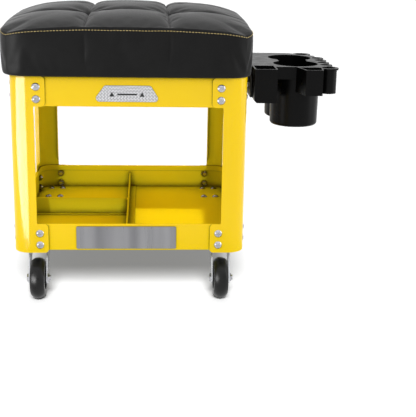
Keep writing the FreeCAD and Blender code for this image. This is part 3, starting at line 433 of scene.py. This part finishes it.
def dashes(path, outward):
    """Points and faces of short rounded stitches laid along a closed path."""
    lengths = [0.0]
    for i in range(len(path)):
        lengths.append(lengths[-1] + (path[(i + 1) % len(path)] - path[i]).length)
    total = lengths[-1]
    count = int(total / (STITCH + STITCH_GAP))
    points, faces = [], []

    def at(distance):
        """Point of the path and outward direction at a distance along it."""
        distance %= total
        i = max(k for k in range(len(path)) if lengths[k] <= distance)
        step = lengths[i + 1] - lengths[i]
        share = (distance - lengths[i]) / step if step else 0.0
        j = (i + 1) % len(path)
        return path[i].lerp(path[j], share), outward[i].lerp(outward[j], share).normalized()

    for n in range(count):
        start = n * total / count
        first = len(points)
        for share, wide, high in STITCH_PROFILE:
            middle, normal = at(start + share * STITCH)
            ahead, _ = at(start + share * STITCH + LOOK_AHEAD)
            side = (ahead - middle).normalized().cross(normal).normalized()
            for k in range(STITCH_SIDES):
                turn = 2 * math.pi * k / STITCH_SIDES
                rise = (math.sin(turn) * wide + high) * STITCH_HEIGHT / 2
                points.append(middle + side * (math.cos(turn) * STITCH_WIDTH / 2 * wide)
                              + normal * rise)
        for row in range(len(STITCH_PROFILE) - 1):
            for k in range(STITCH_SIDES):
                a = first + row * STITCH_SIDES + k
                b = first + row * STITCH_SIDES + (k + 1) % STITCH_SIDES
                faces.append((a, b, b + STITCH_SIDES, a + STITCH_SIDES))
        last = first + (len(STITCH_PROFILE) - 1) * STITCH_SIDES
        faces.append(tuple(first + k for k in reversed(range(STITCH_SIDES))))
        faces.append(tuple(last + k for k in range(STITCH_SIDES)))
    return points, faces


# Seat cushion, round its own middle. Across the seat, points are given by shares from -1 to 1
cushion_low, cushion_high = (Vector(c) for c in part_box("seat_cushion"))
board_low, board_high = (Vector(c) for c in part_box("seat_board"))
MIDDLE = (cushion_low + cushion_high) / 2
HALF_X = (cushion_high.x - cushion_low.x) / 2
HALF_Y = (cushion_high.y - cushion_low.y) / 2
BOTTOM = cushion_low.z
# Half sizes and corner radius of the cushion and of the board under it
CUSHION = (HALF_X, HALF_Y, 38 * MM)
BOARD = ((board_high.x - board_low.x) / 2, (board_high.y - board_low.y) / 2, 24 * MM)

SEAMS = (-0.335, 0.335)
TUFT_X, TUFT_Y = SEAMS[1] * HALF_X, SEAMS[1] * HALF_Y
# Shares of a panel's width from seam to seam, close together next to the seams
CUTS = [0.0, 0.011, 0.026, 0.06] + [0.11 + 0.78 * i / 18 for i in range(19)] + [0.94, 0.974, 0.989]
PANEL = len(CUTS)
SHARES = [low_share + (high_share - low_share) * cut
          for low_share, high_share in ((-1.0, SEAMS[0]), SEAMS, (SEAMS[1], 1.0))
          for cut in CUTS] + [1.0]
COUNT = len(SHARES)
LAST = COUNT - 1
# Columns and rows of the points round the top's edge, in order
LOOP = ([(i, 0) for i in range(LAST)] + [(LAST, j) for j in range(LAST)]
        + [(i, LAST) for i in range(LAST, 0, -1)] + [(0, j) for j in range(LAST, 0, -1)])

# The top, in millimetres: its seam round the edge, and how far that sinks at the corners. The
# box is rounded, because the cloth would make more of the small errors in its numbers
TOP_SEAM = round(cushion_high.z / MM, 1) - 21.8
CORNER_DROP, CORNER_POWER = 10.5, 3.2
TUFT_DENTS = ((3.5, 24), (3.0, 8))
# The top, in metres: what rises from its seam or sinks into it
SEAM_HEIGHT = TOP_SEAM * MM
SEAM_INSET = 3.2 * MM
DOME, DOME_POWER_X, DOME_POWER_Y = 13.5 * MM, 3.6, 2.2
PANEL_RISE = 4.0 * MM
OUTER_BULGE = 1.95
GROOVE_DEPTH, GROOVE_WIDTH = 3.2 * MM, 1.7 * MM
GROOVE_END = 0.97

# Rows of the side band: share of the way down, how far inside the widest outline, pinned
SIDE_ROWS = ((0.03, 1.0, 0), (0.075, 0.4, 0), (0.14, 0.2, 0), (0.22, 0.1, 0), (0.31, 0.0, 0),
             (0.40, 0.0, 0), (0.49, 0.0, 0), (0.58, 0.1, 0), (0.67, 0.3, 0), (0.76, 0.6, 0),
             (0.86, 0.8, 0), (0.94, 1.2, 1), (0.98, 2.2, 1), (1.0, 4.2, 1), (1.0, 9.0, 1))
# Rows folded in round the board: share of the board's size, gap to its edge, height
OVER_BOARD = board_high.z + 0.4 * MM
BOARD_ROWS = ((1.0, 0.6, BOTTOM), (1.0, 0.4, BOTTOM + 3 * MM), (1.0, 0.4, OVER_BOARD),
              (0.6, 0.0, OVER_BOARD), (0.25, 0.0, OVER_BOARD))

# Cloth simulation
CLOTH_STEPS = 20
LONGEST_MOVE = 11 * MM

# Folds: where the pleats round the tufts lie, and how deep and wide they are
PLEATS_ABOVE = SEAM_HEIGHT - 9 * MM
PLEAT_COUNT, PLEAT_DEPTH = 8, 1.7 * MM
PLEAT_RING, PLEAT_RING_WIDTH = 20 * MM, 16 * MM
# Folds at the corners of the side band: way from the corner, lean, width and depth in millimetres
SIDE_FOLDS = ((12, 28, 4.5, 2.8), (30, 34, 7, 1.5), (2, 16, 4, 1.0))
SIDE_FOLDS_FROM, SIDE_FOLDS_TO = BOTTOM + 4 * MM, SEAM_HEIGHT - 16 * MM
SIDE_FOLDS_END = SEAM_HEIGHT - 11 * MM
# The front right corner is the most creased
OTHER_CORNERS = 0.35
SEWN_CREASE = 0.8


def edge_point(u, v, half_x, half_y, radius):
    """Point and outward direction on the rounded outline for a point of the unit square's edge."""
    across = abs(u) >= abs(v)
    share = abs(v) if across else abs(u)
    long_half = half_y if across else half_x
    bend = 1 - radius / long_half
    if share <= bend:
        x, y = (half_x, share * half_y) if across else (share * half_x, half_y)
        out = (1.0, 0.0) if across else (0.0, 1.0)
    else:
        turn = (share - bend) / (1 - bend) * math.pi / 4
        turn = turn if across else math.pi / 2 - turn
        x = half_x - radius + radius * math.cos(turn)
        y = half_y - radius + radius * math.sin(turn)
        out = (math.cos(turn), math.sin(turn))
    side_x, side_y = math.copysign(1, u), math.copysign(1, v)
    return Vector((x * side_x, y * side_y, 0)), Vector((out[0] * side_x, out[1] * side_y, 0))


def loop_edge(outline):
    """Points and outward directions of the loop on the cushion's or the board's outline."""
    return [edge_point(SHARES[i], SHARES[j], *outline) for i, j in LOOP]


def bulge(w):
    """Height share of a panel's bulge, steep at the seams and slack towards the seat's edge."""
    w = abs(w)
    if w <= SEAMS[1]:
        return math.sqrt(max(1 - (w / SEAMS[1]) ** 2, 0.0))
    share = (w - SEAMS[1]) / (1 - SEAMS[1])
    return OUTER_BULGE * math.sqrt(share) * max(1 - share ** 2, 0.0)


def bell(distance, width):
    """From 1 at no distance to nearly 0 at twice the width."""
    return math.exp(-(distance / width) ** 2)


def ring_height(u, v):
    """Height of the seam round the top, lower at the corners."""
    return (TOP_SEAM - CORNER_DROP * min(abs(u), abs(v)) ** CORNER_POWER) * MM


def cover_height(u, v, near):
    """Height of the slack cover over a point of the unit square, near a tuft or away from it."""
    dome = DOME * (1 - abs(u) ** DOME_POWER_X) * (1 - abs(v) ** DOME_POWER_Y)
    tuft = sum(depth * bell(near, width * MM) for depth, width in TUFT_DENTS)
    groove = 0.0
    if max(abs(u), abs(v)) < GROOVE_END:
        for w, half in ((u, HALF_X), (v, HALF_Y)):
            gap = min(abs(w - seam) for seam in SEAMS) * half
            groove = max(groove, GROOVE_DEPTH * bell(gap, GROOVE_WIDTH))
    return ring_height(u, v) + dome + PANEL_RISE * bulge(u) * bulge(v) - tuft * MM - groove


def seat_point(x, y, height):
    """Point at a height above the floor, with its place measured from the cushion's middle."""
    return Vector((MIDDLE.x + x, MIDDLE.y + y, height))


def top_point(u, v):
    """Point of the slack top."""
    reach = max(abs(u), abs(v), 1e-6)
    border, out = edge_point(u / reach, v / reach, *CUSHION)
    flat = Vector((u * (HALF_X - SEAM_INSET), v * (HALF_Y - SEAM_INSET), 0))
    drawn = (border - out * SEAM_INSET) * reach
    place = flat.lerp(drawn, reach ** 5)
    near = math.hypot(abs(place.x) - TUFT_X, abs(place.y) - TUFT_Y)
    return seat_point(place.x, place.y, cover_height(u, v, near))


def top_index(i, j):
    """Number of a point of the top, by its column and row."""
    return j * COUNT + i


def lower_rings():
    """Rings of points down the side, under the edge and in over the board, each with its pin."""
    rings = []
    for down, inset, pin in SIDE_ROWS:
        ring = []
        for (i, j), (border, out) in zip(LOOP, loop_edge(CUSHION)):
            top = ring_height(SHARES[i], SHARES[j])
            place = border - out * inset * MM
            ring.append(seat_point(place.x, place.y, top + (BOTTOM - top) * down))
        rings.append((ring, float(pin)))
    for share, gap, height in BOARD_ROWS:
        ring = []
        for border, out in loop_edge(BOARD):
            place = border + out * gap * MM
            ring.append(seat_point(place.x * share, place.y * share, height))
        rings.append((ring, 1.0))
    return rings


def cover_shape():
    """Points of the cover, how far each is pinned, the rings round it and the faces."""
    points = [top_point(u, v) for v in SHARES for u in SHARES]
    pinned = [float(i % PANEL == 0 or j % PANEL == 0) for j in range(COUNT) for i in range(COUNT)]
    faces = [(top_index(i, j), top_index(i + 1, j), top_index(i + 1, j + 1), top_index(i, j + 1))
             for j in range(LAST) for i in range(LAST)]
    rings = [[top_index(i, j) for i, j in LOOP]]
    for ring, pin in lower_rings():
        rings.append(list(range(len(points), len(points) + len(ring))))
        points += ring
        pinned += [pin] * len(ring)
    for above, below in zip(rings, rings[1:]):
        for k in range(len(LOOP)):
            n = (k + 1) % len(LOOP)
            faces.append((above[n], above[k], below[k], below[n]))
    centre = len(points)
    points.append(seat_point(0, 0, OVER_BOARD))
    pinned.append(1.0)
    innermost = rings[-1]
    for k in range(len(LOOP)):
        faces.append((innermost[(k + 1) % len(LOOP)], innermost[k], centre))
    return points, pinned, rings, faces


def make_seat(look):
    """Tufted cushion: sewn panels blown up between pinned seams, then creased."""
    points, pinned, rings, faces = cover_shape()
    pad = new_object("seat_pad", points, faces, look)
    data = pad.data
    points = blown_up(pad, points, pinned)
    crease_seat(points)
    for vertex, point in zip(data.vertices, points):
        vertex.co = point
    data.shade_smooth()
    sharpen(data, rings[0])
    smooth = pad.modifiers.new("smooth", "SUBSURF")
    smooth.levels = smooth.render_levels = 1
    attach(pad, "seat")
    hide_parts("seat_cushion")

    outward = [out for border, out in loop_edge(CUSHION)]
    path = [(points[a] + points[b]) / 2 + out * STITCH_LIFT
            for a, b, out in zip(rings[1], rings[2], outward)]
    stitch_points, stitch_faces = dashes(path, outward)
    mesh_piece("seat_topstitch", stitch_points, stitch_faces, tan_thread(), "seat")


def blown_up(pad, points, pinned):
    """Runs the cloth under pressure and gives each point's new place, not too far from its old."""
    group = pad.vertex_groups.new(name="pin")
    for n, weight in enumerate(pinned):
        if weight:
            group.add([n], weight, "REPLACE")
    cloth = pad.modifiers.new("Cloth", "CLOTH")
    settings = cloth.settings
    settings.quality = 6
    settings.mass = 0.25
    settings.tension_stiffness = 12
    settings.compression_stiffness = 12
    settings.shear_stiffness = 4
    settings.bending_stiffness = 0.4
    settings.use_pressure = True
    settings.uniform_pressure_force = 1.5
    settings.vertex_group_mass = "pin"
    settings.shrink_min = -0.006
    settings.effector_weights.gravity = 0
    cloth.collision_settings.use_collision = False
    cloth.point_cache.frame_end = CLOTH_STEPS
    for step in range(1, CLOTH_STEPS + 1):
        scene.frame_set(step)
    evaluated = pad.evaluated_get(bpy.context.evaluated_depsgraph_get())
    places = [vertex.co.copy() for vertex in evaluated.to_mesh().vertices]
    evaluated.to_mesh_clear()
    pad.modifiers.remove(cloth)
    scene.frame_set(1)
    moved = []
    for start, end in zip(points, places):
        step = end - start
        if step.length > LONGEST_MOVE:
            step *= LONGEST_MOVE / step.length
        moved.append(start + step)
    return moved


def crease_seat(points):
    """Pulls folds into the cover round the tufts and at the corners of the side band."""
    for n, point in enumerate(points):
        x, y = point.x - MIDDLE.x, point.y - MIDDLE.y
        if point.z > PLEATS_ABOVE:
            away_x, away_y = abs(x) - TUFT_X, abs(y) - TUFT_Y
            turn = math.atan2(away_y, away_x)
            # Each tuft's pleats are turned and bent a little differently
            bend = 1.3 * math.sin(3 * turn + (x > 0) * 2 + (y > 0))
            fade = bell(math.hypot(away_x, away_y) - PLEAT_RING, PLEAT_RING_WIDTH)
            point.z += PLEAT_DEPTH * math.sin(PLEAT_COUNT * turn + bend) * fade
        elif SIDE_FOLDS_FROM < point.z < SIDE_FOLDS_TO:
            share = (point.z - BOTTOM) / (SIDE_FOLDS_END - BOTTOM)
            along = HALF_X - abs(x) if abs(y) / HALF_Y > abs(x) / HALF_X else HALF_Y - abs(y)
            depth = 0.0
            for start, lean, width, deep in SIDE_FOLDS:
                depth += deep * MM * bell(along - (start + lean * share) * MM, width * MM)
            depth *= math.sin(math.pi * min(max(share, 0), 1))
            depth *= 1.0 if x > 0 > y else OTHER_CORNERS
            direction = Vector((x / HALF_X ** 2, y / HALF_Y ** 2, 0)).normalized()
            points[n] = point - direction * depth


def sharpen(data, ring):
    """Keeps the sewn lines crisp under the smoothing."""
    crease = data.attributes.new("crease_edge", "FLOAT", "EDGE")
    sewn = {frozenset((ring[k], ring[(k + 1) % len(ring)])) for k in range(len(ring))}
    for k in (PANEL, 2 * PANEL):
        for i in range(LAST):
            sewn.add(frozenset((top_index(i, k), top_index(i + 1, k))))
            sewn.add(frozenset((top_index(k, i), top_index(k, i + 1))))
    for n, edge in enumerate(data.edges):
        if frozenset(edge.vertices) in sewn:
            crease.data[n].value = SEWN_CREASE


# Label. Places are in millimetres from the middle of the frame, heights from the marks' line
ARROW_PLACES = (-25.0, 19.0)
ARROW_HALF_WIDTH, ARROW_FOOT, ARROW_TIP = 3.7, -3.2, 3.6
BAR_LEFT, BAR_RIGHT, BAR_HALF_HEIGHT = -17, 11.5, 1.2
MARKS_DROP = 1.0 * MM
INK_STANDS_OUT, INK_THICK = 0.05 * MM, 0.1 * MM


def make_label_marks():
    """Two plain arrowheads and a bar on the label, as a sign that the seat lifts."""
    low, high = (Vector(c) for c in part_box("label_plate"))
    front = low.y - INK_STANDS_OUT
    line = (low.z + high.z) / 2 - MARKS_DROP
    points, faces = [], []

    def flat(outline):
        """Adds a thin slab of ink with an outline."""
        first, size = len(points), len(outline)
        for y in (front, front + INK_THICK):
            points.extend(Vector((FRAME_X + x * MM, y, line + up * MM)) for x, up in outline)
        faces.append(tuple(first + k for k in range(size)))
        faces.append(tuple(first + size + k for k in reversed(range(size))))
        for k in range(size):
            n = (k + 1) % size
            faces.append((first + n, first + k, first + size + k, first + size + n))

    for x in ARROW_PLACES:
        flat([(x - ARROW_HALF_WIDTH, ARROW_FOOT), (x + ARROW_HALF_WIDTH, ARROW_FOOT),
              (x, ARROW_TIP)])
    flat([(BAR_LEFT, -BAR_HALF_HEIGHT), (BAR_RIGHT, -BAR_HALF_HEIGHT),
          (BAR_RIGHT, BAR_HALF_HEIGHT), (BAR_LEFT, BAR_HALF_HEIGHT)])
    mesh_piece("label_marks", points, faces, mark_ink(), "frame", smooth=False)


# Room
SHADOW_SLOPE = math.radians(36.7)
SHADOW_SOFTNESS = math.radians(21)
SHADOW_LEVEL = 0.245
LIT_FLOOR_LEVEL = 1.04
FLOOR_SHARE = 0.05
FLOOR_X, FLOOR_FRONT, FLOOR_BACK = 12, -8, 16
FLOOR_DROP = 0.4 * MM
CONTACT_REACH = 25 * MM
SKY_LEVEL = 0.56
CARD_BRIGHTNESS = 20.0
BEAM_FAN = math.radians(1.5)
BEAM_LENGTH = 0.75


def gathered(name, pieces):
    """Collection of some pieces, for a lamp that reaches only them."""
    group = bpy.data.collections.new(name)
    for piece in pieces:
        group.objects.link(piece)
    return group


def make_floor():
    """White floor. Its white comes from the shadow lamp, so that only the seat's shadow is grey;
    that grey is the floor's own glow, dimmer still in a painted contact shadow where parts stand
    close above it.
    """
    look, tree, shader = new_material("pale_floor")
    tree.nodes.remove(shader)
    surface = add(tree, "ShaderNodeBsdfDiffuse", Color=(FLOOR_SHARE, FLOOR_SHARE, FLOOR_SHARE, 1))
    # Painted contact shadow: the floor's glow is dimmed by ambient occlusion where the wheels and
    # the tray stand close above it.
    contact = add(tree, "ShaderNodeAmbientOcclusion", Distance=CONTACT_REACH, samples=8)
    glow = add(tree, "ShaderNodeEmission", Strength=SHADOW_LEVEL, Color=contact.outputs["Color"])
    both = tree.nodes.new("ShaderNodeAddShader")
    feed(tree, both.inputs[0], surface.outputs["BSDF"])
    feed(tree, both.inputs[1], glow.outputs["Emission"])
    feed(tree, tree.nodes["Material Output"].inputs["Surface"], both.outputs["Shader"])
    corners = [(-FLOOR_X, FLOOR_FRONT, 0), (FLOOR_X, FLOOR_FRONT, 0), (FLOOR_X, FLOOR_BACK, 0),
               (-FLOOR_X, FLOOR_BACK, 0)]
    floor = new_object("floor", corners, [(0, 1, 2, 3)], look)
    floor.location.z = -FLOOR_DROP
    return floor


def make_shadow_lamp(floor):
    """Lamp from the front for the floor alone, where casters and lower tray throw a shadow."""
    light = bpy.data.lights.new("shadow_lamp", "SUN")
    light.angle = SHADOW_SOFTNESS
    light.energy = ((LIT_FLOOR_LEVEL - SHADOW_LEVEL) * math.pi
                    / (FLOOR_SHARE * math.sin(SHADOW_SLOPE)))
    sun = bpy.data.objects.new("shadow_lamp", light)
    sun.rotation_euler = (math.pi / 2 - SHADOW_SLOPE, 0, 0)
    scene.collection.objects.link(sun)
    low_parts = [nodes[name] for name in nodes if name.startswith("caster_")]
    low_parts.append(nodes["lower_tray"])
    sun.light_linking.receiver_collection = gathered("lit_floor", [floor])
    sun.light_linking.blocker_collection = gathered("throws_shadow", low_parts)


def make_sky():
    """Even pale surroundings, brighter overhead, that are seen and mirrored as white."""
    world = bpy.data.worlds.new("studio")
    scene.world = world
    world.use_nodes = True
    tree = world.node_tree
    direction = tree.nodes.new("ShaderNodeTexCoord").outputs["Generated"]
    axes = add(tree, "ShaderNodeSeparateXYZ", Vector=direction)
    overhead = combine(tree, "MAXIMUM", axes.outputs["Z"], 0.0)
    ray = tree.nodes.new("ShaderNodeLightPath")
    seen = combine(tree, "MAXIMUM", ray.outputs["Is Camera Ray"], ray.outputs["Is Glossy Ray"])
    seen = combine(tree, "MAXIMUM", seen, ray.outputs["Is Transmission Ray"])
    strength = combine(tree, "MAXIMUM", combine(tree, "ADD", overhead, SKY_LEVEL), seen)
    feed_all(tree, tree.nodes["Background"], {"Color": (1.0, 1.0, 1.0, 1), "Strength": strength})


def lamp(name, place, right, up, size_x, size_y, power, fan=math.pi):
    """Flat rectangular lamp that shines away from the turn of its right and up directions."""
    light = bpy.data.lights.new(name, "AREA")
    light.shape = "RECTANGLE"
    light.size = size_x
    light.size_y = size_y
    light.energy = power
    light.spread = fan
    fixture = bpy.data.objects.new(name, light)
    right, up = Vector(right).normalized(), Vector(up).normalized()
    turn = Matrix((right, up, right.cross(up))).transposed().to_4x4()
    fixture.matrix_world = Matrix.Translation(place) @ turn
    scene.collection.objects.link(fixture)
    return fixture


def aimed_lamp(name, place, target, size_x, size_y, power):
    """Rectangular lamp that shines from a place to a target, with level upper and lower edges."""
    ahead = (Vector(target) - Vector(place)).normalized()
    right = ahead.cross(Vector((0, 0, 1)))
    return lamp(name, place, right, right.cross(ahead), size_x, size_y, power)


def make_side_lamps():
    """Soft lamps from the left and the right, and one from the left for the seat's sheen alone."""
    from_x, from_y = FRAME_X - 0.86, -0.62
    to_x, to_y = FRAME_X - 0.16, -0.18
    width, height = 0.34, 0.46
    aimed_lamp("left_strip", (from_x, from_y, 0.23), (to_x, to_y, 0.21), width, height, 1.5)
    sheen = aimed_lamp("seat_strip", (from_x, from_y, 0.36), (to_x, to_y, 0.38), width, height, 5.0)
    sheen.light_linking.receiver_collection = gathered("seat_cover", [bpy.data.objects["seat_pad"]])
    aimed_lamp("right_strip", (FRAME_X + 1.8, -0.3, 0.7), (FRAME_X, 0, 0.25), 0.35, 1.4, 5)


def make_low_card():
    """Low card of light, seen in reflections only, that glints along the front left post."""
    bearing, slope = math.radians(11), math.radians(29)
    length, width, start = 0.66, 1.1, 0.28
    away = Vector((-math.sin(bearing), -math.cos(bearing), 0))
    aside = Vector((away.y, -away.x, 0))
    up = away * math.cos(slope) + Vector((0, 0, math.sin(slope)))
    corner = Vector((left_low[0], left_low[1], 1 * MM)) + away * start
    card = lamp("low_card", corner + up * length / 2 + aside * width / 2, -aside, up, width, length,
                CARD_BRIGHTNESS * math.pi * width * length)
    card.visible_camera = False
    card.visible_diffuse = False
    glossy = [nodes[entry["node"]] for entry in frame["record"]["subparts"]
              if entry["material_slot"] in ("yellow_paint", "tread_rubber")]
    card.light_linking.receiver_collection = gathered("glossy_pieces", glossy)


def front_beam(name, receivers, slope, target, size_x, size_y, strength):
    """Narrow beam from the front and above on a place inside the frame."""
    slope = math.radians(slope)
    ahead = Vector((0, math.cos(slope), -math.sin(slope)))
    beam = lamp(name, Vector(target) - ahead * BEAM_LENGTH, (1, 0, 0),
                (0, math.sin(slope), math.cos(slope)), size_x, size_y,
                strength * size_x * size_y, BEAM_FAN)
    beam.visible_camera = False
    beam.light_linking.receiver_collection = receivers
    return beam


def make_beams():
    """Light on the lower tray's right floor, rear wall and cross divider, and on the rear posts."""
    tray_low, tray_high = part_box("lower_tray")
    wall_low, wall_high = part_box("cross_divider")
    inside = gathered("tray_inside", [nodes["lower_tray"], nodes["cross_divider"]])
    posts = gathered("rear_posts", [nodes["post_rear_left"], nodes["post_rear_right"]])
    floor_place = (FRAME_X + 61 * MM, FRAME_Y - 15 * MM, tray_low[2])
    rear_wall = (FRAME_X, tray_high[1], (tray_low[2] + tray_high[2]) / 2 + 36 * MM)
    post_place = (FRAME_X, tray_high[1], tray_high[2] + 88 * MM)
    divider = ((wall_low[0] + wall_high[0]) / 2, wall_low[1], (wall_low[2] + wall_high[2]) / 2)
    front_beam("floor_beam", inside, 40, floor_place, 122 * MM, 62 * MM, 2.9)
    front_beam("wall_beam", inside, 15, rear_wall, 340 * MM, 113 * MM, 1.1)
    post_beam = front_beam("post_beam", posts, 5, post_place, 370 * MM, 200 * MM, 0.45)
    post_beam.light_linking.blocker_collection = gathered("shades_posts", [nodes["upper_tray"]])
    front_beam("divider_beam", inside, 15, divider, wall_high[0] - wall_low[0],
               wall_high[2] - wall_low[2], 1.25)


make_camera()
looks = dress_nodes()
make_seat(looks["seat_vinyl"])
make_label_marks()
make_shadow_lamp(make_floor())
make_sky()
make_side_lamps()
make_low_card()
make_beams()
scene.view_settings.view_transform = "Standard"
scene.view_settings.look = "None"
